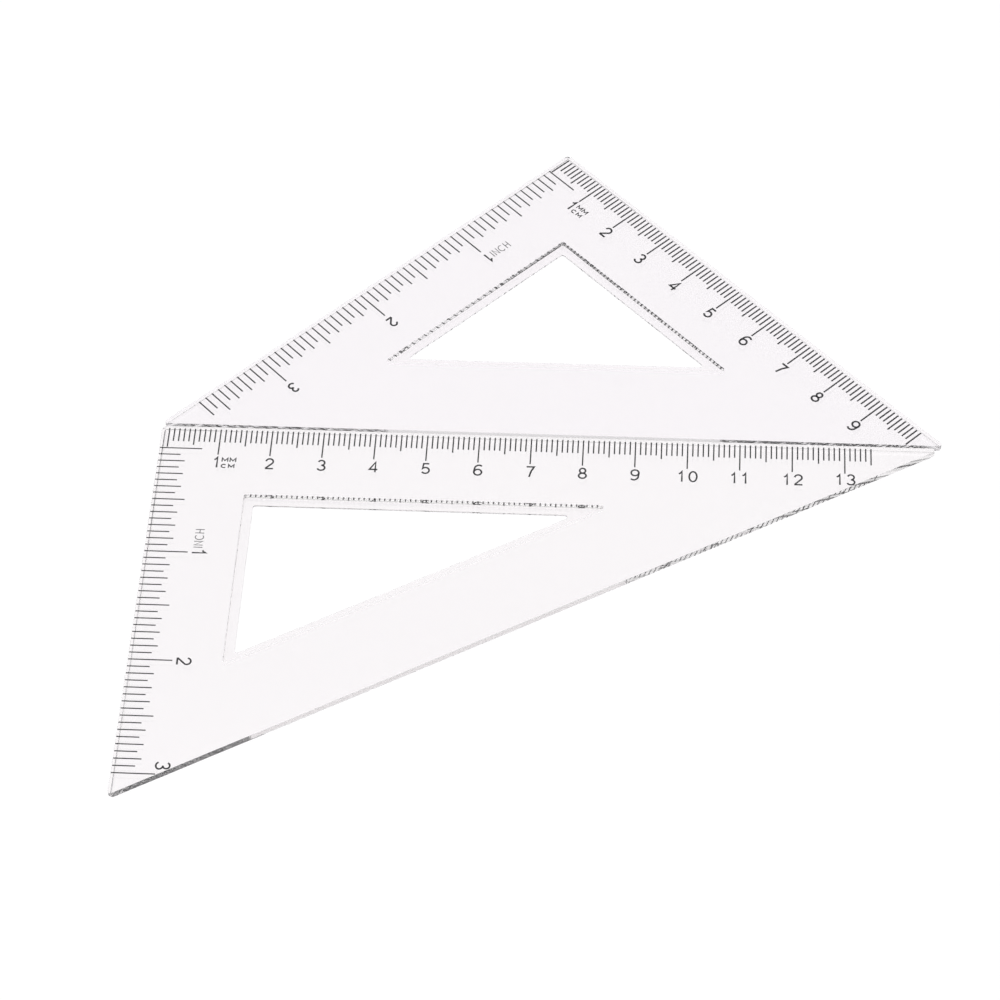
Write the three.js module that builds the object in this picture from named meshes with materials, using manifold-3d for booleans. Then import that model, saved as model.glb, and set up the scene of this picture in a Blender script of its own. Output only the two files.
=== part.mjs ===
// Two-piece set of clear plastic set squares: a 30/60/90 plate and a 45/45/90 plate,
// lying flat with the hypotenuse of the 45 plate against the long leg of the 60 plate.
// Millimetres, +X along the shared edge, +Y towards the 45 plate's right angle, +Z up.
import * as THREE from 'three';
import Module from 'manifold-3d';

const wasm = await Module();
wasm.setup();

// ---- plate outlines -------------------------------------------------------------
const LONG_LEG_60 = 150.0;        // lies along the 45 plate
const HYPOTENUSE_45 = 151.0;      // lies along the 60 plate
const THICKNESS = 1.4;
const ACUTE_ANGLE_60 = 30;        // degrees, at the far end of the long leg
const RIGHT_ANGLE_RADIUS = 1.2;   // corner radius in plan
const TIP_RADIUS = 0.5;
const EDGE_GAP = 0.65;            // between the two plates as they lie
const SHIFT_45 = -0.3;            // how far the 45 plate lies along the shared edge

// ---- ink edge: the graduated legs are undercut, so the edge stands clear of the paper
const LIP_WIDTH = 0.45;           // thin outer lip, in plan
const LIP_LIFT = 0.5;             // underside of the lip above the plate's underside
const TURN_WIDTH = 0.9;           // rounded turn from the lip down to the underside, in plan
const TURN_STEPS = 5;

// ---- triangular window ------------------------------------------------------------
// Plate edge to the window's wall: for each plate, the edges in the order of its corners.
const WINDOW_MARGINS_60 = [17.5, 17.1, 16.5];
const WINDOW_MARGINS_45 = [17.5, 17.2, 17.2];
const LEDGE_WIDTH = 1.8;          // thin ledge all round the foot of the wall
const LEDGE_THICKNESS = 0.3;
const WINDOW_RADIUS = 0.5;

const ARC_STEPS = 6;
const CUT_OVER = 3.0;             // how far cutters reach past the plate

// Convex polygon with each corner rounded, counter-clockwise.
function roundedOutline(corners, radii) {
  const points = [];
  const count = corners.length;
  for (let i = 0; i < count; i++) {
    const corner = corners[i];
    const before = corners[(i + count - 1) % count].clone().sub(corner).normalize();
    const after = corners[(i + 1) % count].clone().sub(corner).normalize();
    const half = Math.acos(before.dot(after)) / 2;
    const bisector = before.clone().add(after).normalize();
    const centre = bisector.multiplyScalar(radii[i] / Math.sin(half)).add(corner);
    const start = before.multiplyScalar(radii[i] / Math.tan(half)).add(corner).sub(centre);
    const sweep = Math.PI - 2 * half;
    for (let s = 0; s <= ARC_STEPS; s++) {
      const turn = sweep * s / ARC_STEPS;
      points.push(start.clone().rotateAround(new THREE.Vector2(), turn).add(centre));
    }
  }
  return points;
}

// The same polygon with each edge moved inwards by its own distance.
function insetCorners(corners, distances) {
  const count = corners.length;
  return corners.map((corner, i) => {
    const previous = (i + count - 1) % count;
    const before = corners[previous].clone().sub(corner).normalize();
    const after = corners[(i + 1) % count].clone().sub(corner).normalize();
    const sine = Math.abs(before.cross(after));
    const inset = before.multiplyScalar(distances[i] / sine);
    return inset.addScaledVector(after, distances[previous] / sine).add(corner);
  });
}

// Closed solid through a stack of outlines that have the same number of points.
function loft(layers) {
  const count = layers[0].outline.length;
  const vertices = [];
  const triangles = [];
  for (const layer of layers) {
    for (const point of layer.outline) {
      vertices.push(point.x, point.y, layer.z);
    }
  }
  for (let level = 0; level + 1 < layers.length; level++) {
    for (let i = 0; i < count; i++) {
      const a = level * count + i;
      const b = level * count + (i + 1) % count;
      triangles.push(a, b, b + count);
      triangles.push(a, b + count, a + count);
    }
  }
  const top = (layers.length - 1) * count;
  for (const face of THREE.ShapeUtils.triangulateShape(layers[0].outline, [])) {
    triangles.push(face[0], face[2], face[1]);
    triangles.push(top + face[0], top + face[1], top + face[2]);
  }
  return solidFrom(vertices, triangles);
}

function solidFrom(vertices, triangles) {
  return new wasm.Manifold(new wasm.Mesh({
    numProp: 3,
    vertProperties: new Float32Array(vertices),
    triVerts: new Uint32Array(triangles),
  }));
}

// Prism that undercuts the edge from one corner to the next.
function undercut(from, to) {
  const along = to.clone().sub(from).normalize();
  const outward = new THREE.Vector2(along.y, -along.x);
  const section = [new THREE.Vector2(CUT_OVER, LIP_LIFT)];
  for (let s = 0; s <= TURN_STEPS; s++) {
    const turn = Math.PI / 2 * s / TURN_STEPS;
    const offset = LIP_WIDTH + TURN_WIDTH * (1 - Math.cos(turn));
    section.push(new THREE.Vector2(-offset, LIP_LIFT * (1 - Math.sin(turn))));
  }
  section.push(new THREE.Vector2(-LIP_WIDTH - TURN_WIDTH, -CUT_OVER));
  section.push(new THREE.Vector2(CUT_OVER, -CUT_OVER));
  const ends = [
    from.clone().addScaledVector(along, -CUT_OVER),
    to.clone().addScaledVector(along, CUT_OVER),
  ];
  const vertices = [];
  for (const end of ends) {
    for (const { x, y } of section) {
      const point = end.clone().addScaledVector(outward, x);
      vertices.push(point.x, point.y, y);
    }
  }
  const count = section.length;
  const triangles = [];
  for (const face of THREE.ShapeUtils.triangulateShape(section, [])) {
    triangles.push(face[0], face[1], face[2]);
    triangles.push(count + face[0], count + face[2], count + face[1]);
  }
  for (let i = 0; i < count; i++) {
    const j = (i + 1) % count;
    triangles.push(i, j + count, j);
    triangles.push(i, i + count, j + count);
  }
  return solidFrom(vertices, triangles);
}

// One plate. Corners run counter-clockwise; graduated lists the scale edges by start corner
// and margins gives each edge's distance to the window.
function plate(corners, radii, graduated, margins) {
  const outline = roundedOutline(corners, radii);
  let body = loft([{ outline, z: 0 }, { outline, z: THICKNESS }]);
  for (const start of graduated) {
    body = body.subtract(undercut(corners[start], corners[(start + 1) % 3]));
  }
  const windowRadii = [WINDOW_RADIUS, WINDOW_RADIUS, WINDOW_RADIUS];
  const holeMargins = margins.map((margin) => margin + LEDGE_WIDTH);
  const wall = roundedOutline(insetCorners(corners, margins), windowRadii);
  const hole = roundedOutline(insetCorners(corners, holeMargins), windowRadii);
  const above = THICKNESS + CUT_OVER;
  const recess = loft([{ outline: wall, z: LEDGE_THICKNESS }, { outline: wall, z: above }]);
  const opening = loft([{ outline: hole, z: -CUT_OVER }, { outline: hole, z: above }]);
  return body.subtract(recess).subtract(opening);
}

// 30/60/90 plate: right angle at the left end of the shared edge, short leg towards -Y.
const shortLeg = LONG_LEG_60 * Math.tan(THREE.MathUtils.degToRad(ACUTE_ANGLE_60));
const corners60 = [
  new THREE.Vector2(0, 0),
  new THREE.Vector2(0, -shortLeg),
  new THREE.Vector2(LONG_LEG_60, 0),
];
const radii60 = [RIGHT_ANGLE_RADIUS, TIP_RADIUS, TIP_RADIUS];
const plate60 = plate(corners60, radii60, [0, 2], WINDOW_MARGINS_60);

// 45/45/90 plate: hypotenuse along the shared edge, right angle towards +Y.
const corners45 = [
  new THREE.Vector2(SHIFT_45, EDGE_GAP),
  new THREE.Vector2(SHIFT_45 + HYPOTENUSE_45, EDGE_GAP),
  new THREE.Vector2(SHIFT_45 + HYPOTENUSE_45 / 2, EDGE_GAP + HYPOTENUSE_45 / 2),
];
const radii45 = [TIP_RADIUS, TIP_RADIUS, RIGHT_ANGLE_RADIUS];
const plate45 = plate(corners45, radii45, [1, 2], WINDOW_MARGINS_45);

function meshFrom(solid, name, colour) {
  const data = solid.getMesh();
  const geometry = new THREE.BufferGeometry();
  geometry.setAttribute('position', new THREE.BufferAttribute(new Float32Array(data.vertProperties), 3));
  geometry.setIndex(new THREE.BufferAttribute(new Uint32Array(data.triVerts), 1));
  geometry.computeVertexNormals();
  const material = new THREE.MeshStandardMaterial({
    color: colour,
    roughness: 0.08,
    metalness: 0,
    transparent: true,
    opacity: 0.3,
    flatShading: true,
  });
  material.name = name;
  const mesh = new THREE.Mesh(geometry, material);
  mesh.name = name;
  return mesh;
}

const group = new THREE.Group();
group.name = 'set_square_pair';
group.add(meshFrom(plate60, 'set_square_60', 0xeeebee));
group.add(meshFrom(plate45, 'set_square_45', 0xeeebef));

// Origin at the middle of the pair, on the surface it lies on.
const box = new THREE.Box3().setFromObject(group);
const middle = box.getCenter(new THREE.Vector3());
for (const mesh of group.children) {
  mesh.geometry.translate(-middle.x, -middle.y, -box.min.z);
}

export default group;
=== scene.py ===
"""Pair of clear plastic set squares lying edge to edge, with printed scales. Metres, row frame."""
import bpy
import math
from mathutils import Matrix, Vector


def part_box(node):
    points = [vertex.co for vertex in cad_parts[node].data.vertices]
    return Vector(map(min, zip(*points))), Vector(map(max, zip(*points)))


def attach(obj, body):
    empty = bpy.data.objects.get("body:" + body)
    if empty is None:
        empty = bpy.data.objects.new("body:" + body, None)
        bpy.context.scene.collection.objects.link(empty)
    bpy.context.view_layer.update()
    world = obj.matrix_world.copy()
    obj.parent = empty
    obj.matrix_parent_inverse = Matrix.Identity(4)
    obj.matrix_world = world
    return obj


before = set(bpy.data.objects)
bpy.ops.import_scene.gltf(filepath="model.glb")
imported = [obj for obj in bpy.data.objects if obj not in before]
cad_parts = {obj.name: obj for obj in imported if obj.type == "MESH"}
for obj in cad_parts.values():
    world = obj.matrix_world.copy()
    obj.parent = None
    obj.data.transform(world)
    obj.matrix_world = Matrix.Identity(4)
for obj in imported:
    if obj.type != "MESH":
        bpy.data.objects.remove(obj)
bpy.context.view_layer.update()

MM = 0.001

# ---- plate geometry, in millimetres ---------------------------------------------------
LONG_LEG_60 = 150.0
HYPOTENUSE_45 = 151.0
TAN_30 = math.tan(math.radians(30))
SHORT_LEG_60 = LONG_LEG_60 * TAN_30
LEG_45 = HYPOTENUSE_45 / math.sqrt(2)
low_60, high_60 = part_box("set_square_60")
low_45, high_45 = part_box("set_square_45")
THICKNESS = high_60[2] / MM
corner_60 = (low_60[0] / MM, high_60[1] / MM)                  # right angle of the 60 plate
apex_45 = ((low_45[0] + high_45[0]) / 2 / MM, low_45[1] / MM + HYPOTENUSE_45 / 2)

# ---- print, in millimetres ------------------------------------------------------------
INK_HALF = 0.012                 # half the film's thickness: it lies half in, half on the surface
EDGE_CLEAR = 0.1                 # the marks stop this far short of a plate's hypotenuse
MITRE_LIMIT = 0.45               # cosine at which a stroke's corner stops growing
INCH = 25.4
SIXTEENTH = INCH / 16

# Millimetre marks, by their place in the scale.
MARK_AT_ZERO = 4.7
MARK_EACH_10 = 6.3
MARK_EACH_5 = 4.05
MARK_EACH_1 = 3.2

# Centimetre numerals.
NUMERAL_HEIGHT = 2.6
NUMERAL_GAP = 0.4
ONE_SHIFT = 0.08                 # a lone 1 stands this much left of its mark's centre

# MM over CM, right of the first centimetre mark.
UNIT_START = 10.85
UNIT_LINE = 0.24
UNIT_GAP = 0.45
UNIT_DROP = 0.15                 # MM starts this far below the top of the numerals
MM_HEIGHT, MM_STRETCH = 0.95, 1.35
CM_HEIGHT, CM_STRETCH = 0.85, 1.45
CM_SHIFT = -0.05

# INCH, above the numeral 1 of the inch scale.
INCH_START = INCH - 1.2
INCH_RAISE = 0.15
INCH_HEIGHT, INCH_WIDTH = 1.7, 1.55
INCH_LINE = 0.15
INCH_GAP = 0.36


class Plane:
    """Places on a plate's top face, as distances inside an edge and along it."""

    def __init__(self, origin, across, along, leg, slope):
        self.origin = Vector(origin)
        self.across = Vector(across).normalized()
        self.along = Vector(along).normalized()
        self.leg = leg                   # length of the edge
        self.slope = slope               # tangent of the plate's angle at the edge's far end

    def at(self, a, c):
        """Point in metres at a distance inside the edge and a distance along it."""
        p = self.origin + self.across * a + self.along * c
        return (p.x * MM, p.y * MM, THICKNESS * MM)

    def room(self, c):
        """How far inwards the plate reaches at a distance along the edge."""
        return (self.leg - c) * self.slope


class Ink:
    """Collects flat strokes on one plate and makes them into one thin printed mesh."""

    def __init__(self):
        self.vertices = []
        self.faces = []

    def strip(self, left, right, closed=False):
        """Closed film between two rows of (x, y, z) points in metres, as many on each side."""
        count = len(left)
        low = len(self.vertices)
        high = low + 2 * count
        for lift in (-INK_HALF * MM, INK_HALF * MM):
            for p in left + right:
                self.vertices.append((p[0], p[1], p[2] + lift))
        pairs = count if closed else count - 1
        for i in range(pairs):
            j = (i + 1) % count
            l0, l1, r0, r1 = i, j, count + i, count + j
            self.faces.append((high + l0, high + l1, high + r1, high + r0))
            self.faces.append((low + r0, low + r1, low + l1, low + l0))
            self.faces.append((low + l0, low + l1, high + l1, high + l0))
            self.faces.append((high + r0, high + r1, low + r1, low + r0))
        if not closed:
            last = count - 1
            end = last + count
            self.faces.append((low, high, high + count, low + count))
            self.faces.append((low + end, high + end, high + last, low + last))

    def tick(self, plane, along, start, end, width):
        """Line across the edge at a place along it, cut short at the plate's hypotenuse."""
        half = width / 2
        end = min(end, plane.room(along + half) - EDGE_CLEAR)
        left = [plane.at(a, along - half) for a in (start, end)]
        right = [plane.at(a, along + half) for a in (start, end)]
        self.strip(left, right)

    def stroke(self, place, points, width, closed):
        """Ribbon along a list of 2D points, mitred at its corners. place maps (x, y) to 3D."""
        count = len(points)
        half = width / 2
        left, right = [], []
        for i, p in enumerate(points):
            if closed:
                before, after = points[i - 1], points[(i + 1) % count]
            else:
                before, after = points[max(i - 1, 0)], points[min(i + 1, count - 1)]
            into = Vector((p[0] - before[0], p[1] - before[1]))
            onward = Vector((after[0] - p[0], after[1] - p[1]))
            if before == p:
                into = onward.copy()
            if after == p:
                onward = into.copy()
            into.normalize()
            onward.normalize()
            side = Vector((-into.y, into.x))
            normal = (side + Vector((-onward.y, onward.x))).normalized()
            reach = half / max(normal.dot(side), MITRE_LIMIT)
            left.append(place(p[0] + normal.x * reach, p[1] + normal.y * reach))
            right.append(place(p[0] - normal.x * reach, p[1] - normal.y * reach))
        self.strip(left, right, closed)

    def text(self, characters, plane, start, up, side, height, stretch, line, gap):
        """Characters from the left end of their baseline. start, up and side are (inside, along)."""

        def place(x, y):
            inside = start[0] + side[0] * x + up[0] * y
            along = start[1] + side[1] * x + up[1] * y
            return plane.at(inside, along)

        cursor = 0.0
        for name in characters:
            for points, closed in GLYPHS[name]:
                scaled = [(cursor + x * height * stretch, y * height) for x, y in points]
                self.stroke(place, scaled, line, closed)
            cursor += GLYPH_WIDTH.get(name, FIGURE_WIDTH) * height * stretch + gap

    def build(self, name, plate):
        """Makes the mesh and fastens it to its plate. plate is (body, slot); the slot is not used."""
        body, slot = plate
        mesh = bpy.data.meshes.new(name)
        mesh.from_pydata(self.vertices, [], self.faces)
        mesh.validate()
        mesh.update()
        piece = bpy.data.objects.new(name, mesh)
        bpy.context.scene.collection.objects.link(piece)
        mesh.materials.append(ink)
        # The film is far too thin to shade the table, which is lit from all round.
        piece.visible_shadow = False
        piece.visible_diffuse = False
        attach(piece, body)


# ---- single-line lettering, each glyph one unit high ----------------------------------
def arc(cx, cy, rx, ry, start, end, steps=14):
    """Points on an ellipse from one angle to another, in degrees."""
    points = []
    for i in range(steps + 1):
        t = math.radians(start + (end - start) * i / steps)
        points.append((cx + rx * math.cos(t), cy + ry * math.sin(t)))
    return points


def oval(cx, cy, rx, ry, steps=26):
    """Points all round an ellipse, the first one not repeated."""
    return arc(cx, cy, rx, ry, 90, 90 - 360 * (steps - 1) / steps, steps - 1)


FIGURE_WIDTH = 0.66              # numerals, as a part of their height
GLYPH_WIDTH = {"M": 0.84, "C": 0.78, "I": 0.16, "N": 0.63, "H": 0.59}
SIX = [
    (oval(0.33, 0.30, 0.28, 0.27), True),
    (arc(0.40, 0.52, 0.345, 0.45, 52, 152, 12) + arc(0.33, 0.34, 0.285, 0.36, 166, 192, 3), False),
]
# A nine is a six turned upside down.
NINE = [([(FIGURE_WIDTH - x, 1.0 - y) for x, y in points], closed) for points, closed in SIX]
# Each glyph is a list of strokes: its points, and whether it closes on itself.
GLYPHS = {
    "0": [(oval(0.33, 0.5, 0.28, 0.47), True)],
    "1": [([(0.10, 0.74), (0.22, 0.80), (0.33, 0.98), (0.33, 0.0)], False)],
    "2": [(arc(0.33, 0.70, 0.265, 0.27, 172, -28) + [(0.07, 0.06)], False),
          ([(0.04, 0.04), (0.63, 0.04)], False)],
    "3": [(arc(0.32, 0.735, 0.235, 0.235, 160, -90, 13), False),
          (arc(0.32, 0.27, 0.275, 0.24, 90, -162), False)],
    "4": [([(0.47, 0.0), (0.47, 0.96), (0.05, 0.26), (0.64, 0.26)], False)],
    "5": [([(0.57, 0.96), (0.17, 0.96), (0.11, 0.50)] + arc(0.32, 0.32, 0.28, 0.28, 122, -150), False)],
    "6": SIX,
    "7": [([(0.05, 0.96), (0.61, 0.96), (0.40, 0.55), (0.27, 0.0)], False)],
    "8": [(oval(0.33, 0.745, 0.215, 0.225), True), (oval(0.33, 0.27, 0.275, 0.24), True)],
    "9": NINE,
    "M": [([(0.0, 0.0), (0.0, 0.95), (0.42, 0.25), (0.84, 0.95), (0.84, 0.0)], False)],
    "C": [(arc(0.40, 0.48, 0.38, 0.47, 48, 312), False)],
    "I": [([(0.08, 0.0), (0.08, 1.0)], False)],
    "N": [([(0.03, 0.0), (0.03, 0.98), (0.60, 0.02), (0.60, 1.0)], False)],
    "H": [([(0.03, 0.0), (0.03, 1.0)], False), ([(0.56, 0.0), (0.56, 1.0)], False),
          ([(0.03, 0.5), (0.56, 0.5)], False)],
}

# ---- materials ------------------------------------------------------------------------
PLASTIC_IOR = 1.5
WALL_PAINTED_SHADE = 0.82                # painted shade: the upright walls' tint, as a part of the faces' tint
WALL_SATIN = 0.04                # roughness the upright walls have more than the faces
WALL_BELOW = 0.2                 # upright part of the normal under which a surface is all wall
FACE_ABOVE = 0.99                # and over which it is all face
POLISH, SCRATCHED = 0.015, 0.07  # roughness between the hairline scratches and in them


def node(tree, kind, **values):
    made = tree.nodes.new(kind)
    for key, value in values.items():
        setattr(made, key, value)
    return made


def noise(tree, vector, scale, detail):
    made = node(tree, "ShaderNodeTexNoise")
    made.inputs["Scale"].default_value = scale
    made.inputs["Detail"].default_value = detail
    tree.links.new(vector, made.inputs["Vector"])
    return made.outputs["Fac"]


def two_tone(tree, value, low, high):
    """Colour ramp between two (position, red, green, blue) stops."""
    made = node(tree, "ShaderNodeValToRGB")
    for stop, (position, *colour) in zip(made.color_ramp.elements, (low, high)):
        stop.position = position
        stop.color = (*colour, 1)
    tree.links.new(value, made.inputs["Fac"])
    return made.outputs["Color"]


def map_range(tree, value, source, target):
    made = node(tree, "ShaderNodeMapRange")
    made.inputs["From Min"].default_value, made.inputs["From Max"].default_value = source
    made.inputs["To Min"].default_value, made.inputs["To Max"].default_value = target
    tree.links.new(value, made.inputs["Value"])
    return made.outputs["Result"]


def clear_plastic(name, tint, seed):
    """Clear moulded plastic: faint lavender tint with slow clouds, polished, hairline scratches, side
    walls darkened by painted shade.
    """
    material = bpy.data.materials.new(name)
    material.use_nodes = True
    tree = material.node_tree
    tree.nodes.clear()
    out = node(tree, "ShaderNodeOutputMaterial")
    shader = node(tree, "ShaderNodeBsdfPrincipled")
    shader.inputs["Transmission Weight"].default_value = 1.0
    shader.inputs["IOR"].default_value = PLASTIC_IOR
    place = node(tree, "ShaderNodeTexCoord")
    move = node(tree, "ShaderNodeMapping")
    move.inputs["Location"].default_value = (seed, seed * 0.7, 0)
    tree.links.new(place.outputs["Object"], move.inputs["Vector"])
    cloud = noise(tree, move.outputs["Vector"], 22.0, 2.0)
    deeper = (tint[0] * 0.996, tint[1] * 0.996, tint[2] * 0.998)
    clouded = two_tone(tree, cloud, (0.3, *deeper), (0.7, *tint))

    # The moulded side walls are a little duller than the polished faces. Their tint is also darkened by
    # orientation: painted shade standing in for the dark lines along the plate edges.
    facing = node(tree, "ShaderNodeSeparateXYZ")
    tree.links.new(place.outputs["Normal"], facing.inputs["Vector"])
    upright = node(tree, "ShaderNodeMath", operation="ABSOLUTE")
    tree.links.new(facing.outputs["Z"], upright.inputs[0])
    wall_to_face = (WALL_BELOW, FACE_ABOVE)
    # Painted shade: the tint is darker where the surface stands upright.
    painted_wall_shade = map_range(tree, upright.outputs["Value"], wall_to_face, (WALL_PAINTED_SHADE, 1.0))
    tint_with_painted_shade = node(tree, "ShaderNodeVectorMath", operation="SCALE")
    tree.links.new(clouded, tint_with_painted_shade.inputs[0])
    tree.links.new(painted_wall_shade, tint_with_painted_shade.inputs["Scale"])
    tree.links.new(tint_with_painted_shade.outputs["Vector"], shader.inputs["Base Color"])

    stretch = node(tree, "ShaderNodeMapping")
    stretch.inputs["Rotation"].default_value = (0, 0, 0.6 + seed)
    stretch.inputs["Scale"].default_value = (1.0, 0.04, 1.0)
    tree.links.new(place.outputs["Object"], stretch.inputs["Vector"])
    scratch = noise(tree, stretch.outputs["Vector"], 900.0, 3.0)
    gloss = map_range(tree, scratch, (0.55, 0.85), (POLISH, SCRATCHED))
    satin = map_range(tree, upright.outputs["Value"], wall_to_face, (WALL_SATIN, 0.0))
    rough = node(tree, "ShaderNodeMath", operation="ADD")
    tree.links.new(gloss, rough.inputs[0])
    tree.links.new(satin, rough.inputs[1])
    tree.links.new(rough.outputs["Value"], shader.inputs["Roughness"])

    # Light reaches the table through the plate, as it does through real thin plastic.
    rays = node(tree, "ShaderNodeLightPath")
    through = node(tree, "ShaderNodeBsdfTransparent")
    through.inputs["Color"].default_value = (0.985, 0.98, 0.985, 1)
    surface = shader.outputs["BSDF"]
    for kind in ("Is Diffuse Ray", "Is Shadow Ray"):
        mix = node(tree, "ShaderNodeMixShader")
        tree.links.new(rays.outputs[kind], mix.inputs["Fac"])
        tree.links.new(surface, mix.inputs[1])
        tree.links.new(through.outputs["BSDF"], mix.inputs[2])
        surface = mix.outputs["Shader"]
    tree.links.new(surface, out.inputs["Surface"])
    return material


def printing_ink(name):
    """Black printed ink, slightly uneven in cover and sheen."""
    material = bpy.data.materials.new(name)
    material.use_nodes = True
    tree = material.node_tree
    shader = tree.nodes["Principled BSDF"]
    place = node(tree, "ShaderNodeTexCoord")
    grain = noise(tree, place.outputs["Object"], 2500.0, 2.0)
    cover = two_tone(tree, grain, (0.35, 0.012, 0.012, 0.014), (0.75, 0.035, 0.034, 0.038))
    tree.links.new(cover, shader.inputs["Base Color"])
    sheen = map_range(tree, grain, (0.0, 1.0), (0.38, 0.55))
    tree.links.new(sheen, shader.inputs["Roughness"])
    return material


plastic_60 = clear_plastic("clear_plastic_60", (0.960, 0.943, 0.944), 0.0)
plastic_45 = clear_plastic("clear_plastic_45", (0.956, 0.935, 0.947), 1.7)
ink = printing_ink("black_ink")

for name, material in (("set_square_60", plastic_60), ("set_square_45", plastic_45)):
    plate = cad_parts[name]
    plate.data.materials.clear()
    plate.data.materials.append(material)
    weld = plate.modifiers.new("weld", "WELD")
    weld.merge_threshold = 0.002 * MM
    soften = plate.modifiers.new("soften", "BEVEL")
    soften.width = 0.08 * MM
    soften.segments = 2
    soften.limit_method = "ANGLE"
    soften.angle_limit = math.radians(40)

# ---- scales ---------------------------------------------------------------------------
# On each plane the first coordinate is the distance inside the edge and the second runs
# along the edge from the plate's right angle.
long_leg_60 = Plane(corner_60, (0, -1), (1, 0), LONG_LEG_60, TAN_30)
short_leg_60 = Plane(corner_60, (1, 0), (0, -1), SHORT_LEG_60, 1 / TAN_30)
mm_leg_45 = Plane(apex_45, (-1, -1), (1, -1), LEG_45, 1.0)
inch_leg_45 = Plane(apex_45, (1, -1), (-1, -1), LEG_45, 1.0)
PLATE_60 = ("plate_60", "clear_60")          # body and material slot
PLATE_45 = ("plate_45", "clear_45")


def mm_scale(plate, plane, zero, last, start, width):
    """Millimetre marks 0 to last. zero is the first mark's place, start its near end."""
    marks = Ink()
    for i in range(last + 1):
        if i == 0:
            length = MARK_AT_ZERO
        elif i % 10 == 0:
            length = MARK_EACH_10
        elif i % 5 == 0:
            length = MARK_EACH_5
        else:
            length = MARK_EACH_1
        marks.tick(plane, zero + i, start, start + length, width)
    marks.build(plate[0] + "_mm_marks", plate)


def mm_numerals(plate, plane, zero, count, top, line, lifts):
    """Numerals 1 to count, read with the edge on top. lifts moves some towards the edge."""
    upright, reading = (-1, 0), (0, 1)
    figures = Ink()
    for i in range(1, count + 1):
        label = str(i)
        total = len(label) * FIGURE_WIDTH * NUMERAL_HEIGHT + (len(label) - 1) * NUMERAL_GAP
        shift = ONE_SHIFT if label == "1" else 0.0
        start = (top + NUMERAL_HEIGHT - lifts.get(i, 0), zero + 10 * i - total / 2 - shift)
        figures.text(label, plane, start, upright, reading, NUMERAL_HEIGHT, 1.0, line, NUMERAL_GAP)
    figures.build(plate[0] + "_mm_numerals", plate)
    units = Ink()
    left = zero + UNIT_START
    units.text("MM", plane, (top + UNIT_DROP + MM_HEIGHT, left), upright, reading,
               MM_HEIGHT, MM_STRETCH, UNIT_LINE, UNIT_GAP)
    units.text("CM", plane, (top + NUMERAL_HEIGHT, left + CM_SHIFT), upright, reading,
               CM_HEIGHT, CM_STRETCH, UNIT_LINE, UNIT_GAP)
    units.build(plate[0] + "_mm_units", plate)


def inch_scale(plate, plane, zero, last, start, ends, width):
    """Sixteenth-inch marks 0 to last. ends has the far ends of 1/16, 1/8, 1/2 and inch marks."""
    marks = Ink()
    for i in range(last + 1):
        if i % 16 == 0:
            end = ends[3]
        elif i % 8 == 0:
            end = ends[2]
        elif i % 2 == 0:
            end = ends[1]
        else:
            end = ends[0]
        marks.tick(plane, zero + i * SIXTEENTH, start, end, width)
    marks.build(plate[0] + "_inch_marks", plate)


def inch_numerals(plate, plane, zero, foot, height, line, shifts):
    """Numerals 1 to 3, read with the edge below. shifts moves some (inside, along)."""
    figures = Ink()
    for i in (1, 2, 3):
        inside, along = shifts.get(i, (0, 0))
        start = (foot + inside, zero + INCH * i - FIGURE_WIDTH / 2 * height + along)
        figures.text(str(i), plane, start, (1, 0), (0, 1), height, 1.0, line, 0)
    figures.build(plate[0] + "_inch_numerals", plate)
    units = Ink()
    units.text("INCH", plane, (foot + INCH_RAISE + INCH_HEIGHT, zero + INCH_START), (-1, 0), (0, -1),
               INCH_HEIGHT, INCH_WIDTH / INCH_HEIGHT, INCH_LINE, INCH_GAP)
    units.build(plate[0] + "_inch_units", plate)


mm_scale(PLATE_60, long_leg_60, 1.5, 135, 0.6, 0.26)
mm_numerals(PLATE_60, long_leg_60, 1.6, 13, 7.5, 0.34, {13: 0.4})
inch_scale(PLATE_60, short_leg_60, 5.55, 48, 0.12, (4.3, 5.25, 6.3, 8.3), 0.25)
inch_numerals(PLATE_60, short_leg_60, 5.65, 9.1, 2.7, 0.34, {3: (-1.2, -1.95)})
mm_scale(PLATE_45, mm_leg_45, 1.3, 100, 1.0, 0.33)
mm_numerals(PLATE_45, mm_leg_45, 1.3, 9, 7.8, 0.4, {})
inch_scale(PLATE_45, inch_leg_45, 5.95, 58, 0.75, (4.45, 5.35, 6.4, 8.15), 0.29)
inch_numerals(PLATE_45, inch_leg_45, 5.95, 9.2, 2.4, 0.38, {})

# ---- floor, light, camera -------------------------------------------------------------
FLOOR_HALF = 2.5                 # metres
FLOOR_DROP = 0.05 * MM           # keeps the floor clear of the plates' undersides
FLOOR_WHITE = 0.92
SKY_STRENGTH = 1.95
BOUNCES = 400

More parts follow.
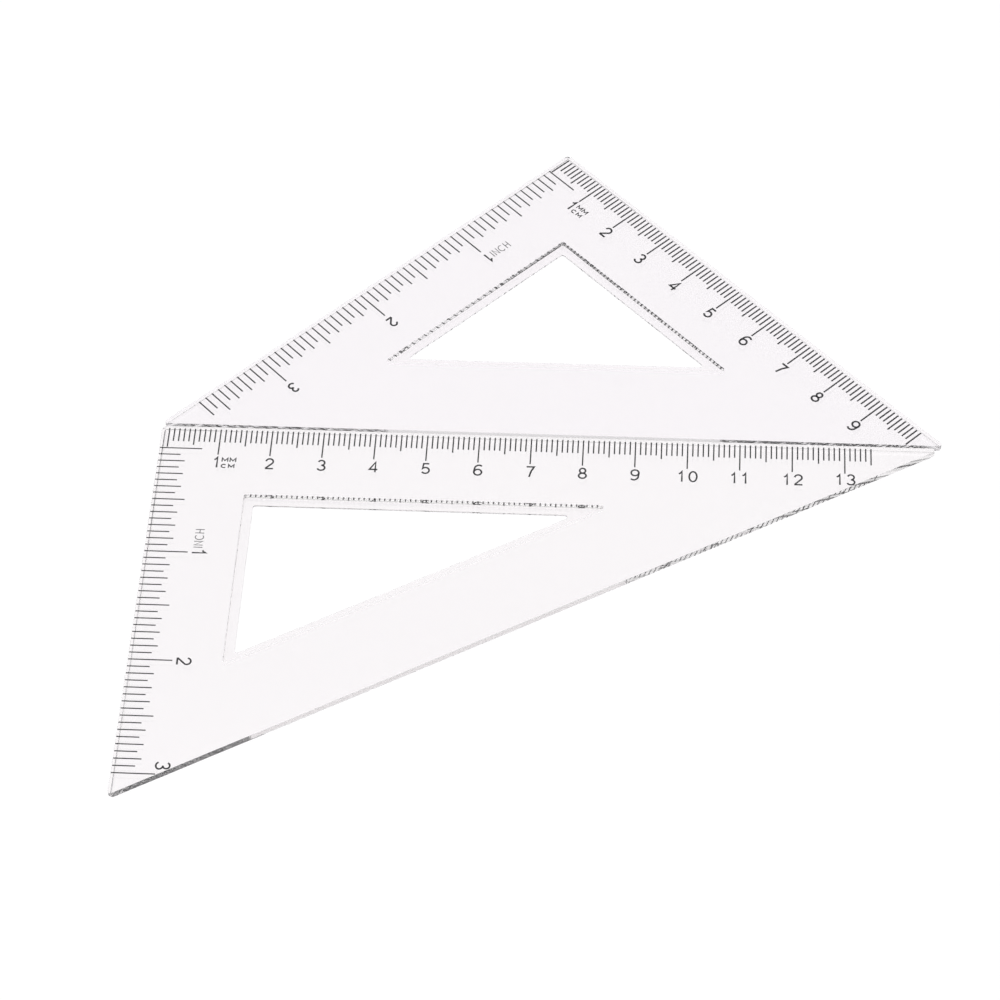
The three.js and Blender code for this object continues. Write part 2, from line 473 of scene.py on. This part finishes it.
floor_mesh = bpy.data.meshes.new("floor")
floor_corners = [(-FLOOR_HALF, -FLOOR_HALF, 0), (FLOOR_HALF, -FLOOR_HALF, 0),
                 (FLOOR_HALF, FLOOR_HALF, 0), (-FLOOR_HALF, FLOOR_HALF, 0)]
floor_mesh.from_pydata(floor_corners, [], [(0, 1, 2, 3)])
floor = bpy.data.objects.new("floor", floor_mesh)
floor.location.z = -FLOOR_DROP
bpy.context.scene.collection.objects.link(floor)
paper = bpy.data.materials.new("floor_white")
paper.use_nodes = True
paper_shader = paper.node_tree.nodes["Principled BSDF"]
paper_shader.inputs["Base Color"].default_value = (FLOOR_WHITE, FLOOR_WHITE, FLOOR_WHITE, 1)
paper_shader.inputs["Roughness"].default_value = 0.9
paper_shader.inputs["Specular IOR Level"].default_value = 0.0
floor_mesh.materials.append(paper)

world = bpy.data.worlds.new("studio")
bpy.context.scene.world = world
world.use_nodes = True
sky = world.node_tree
sky.nodes.clear()
sky_out = node(sky, "ShaderNodeOutputWorld")
sky_light = node(sky, "ShaderNodeBackground")
sky_place = node(sky, "ShaderNodeTexCoord")
sky_split = node(sky, "ShaderNodeSeparateXYZ")
sky.links.new(sky_place.outputs["Generated"], sky_split.inputs["Vector"])
# Broad soft light overhead, falling off to pale walls at the sides.
sky_colour = two_tone(sky, sky_split.outputs["Z"], (0.0, 0.28, 0.28, 0.285), (0.92, 1.0, 1.0, 1.0))
sides = sky_colour.node.color_ramp.elements.new(0.8)
sides.color = (0.48, 0.48, 0.48, 1)
sky_light.inputs["Strength"].default_value = SKY_STRENGTH
sky.links.new(sky_colour, sky_light.inputs["Color"])
sky.links.new(sky_light.outputs["Background"], sky_out.inputs["Surface"])

camera_data = bpy.data.cameras.new("camera")
camera_data.sensor_width = 36
camera_data.lens = 129.185
camera_data.clip_start = 0.01
camera_data.clip_end = 20
camera = bpy.data.objects.new("camera", camera_data)
camera.location = (0.02493, -0.44092, 0.52764)
camera.rotation_euler = (math.radians(39.34), math.radians(1.074), math.radians(3.167))
bpy.context.scene.collection.objects.link(camera)
bpy.context.scene.camera = camera

scene = bpy.context.scene
scene.view_settings.view_transform = "Standard"
scene.view_settings.look = "None"
# Light runs along inside the plates for the length of an edge before it comes out.
scene.cycles.max_bounces = BOUNCES
scene.cycles.transmission_bounces = BOUNCES
scene.cycles.glossy_bounces = BOUNCES
scene.cycles.transparent_max_bounces = 48
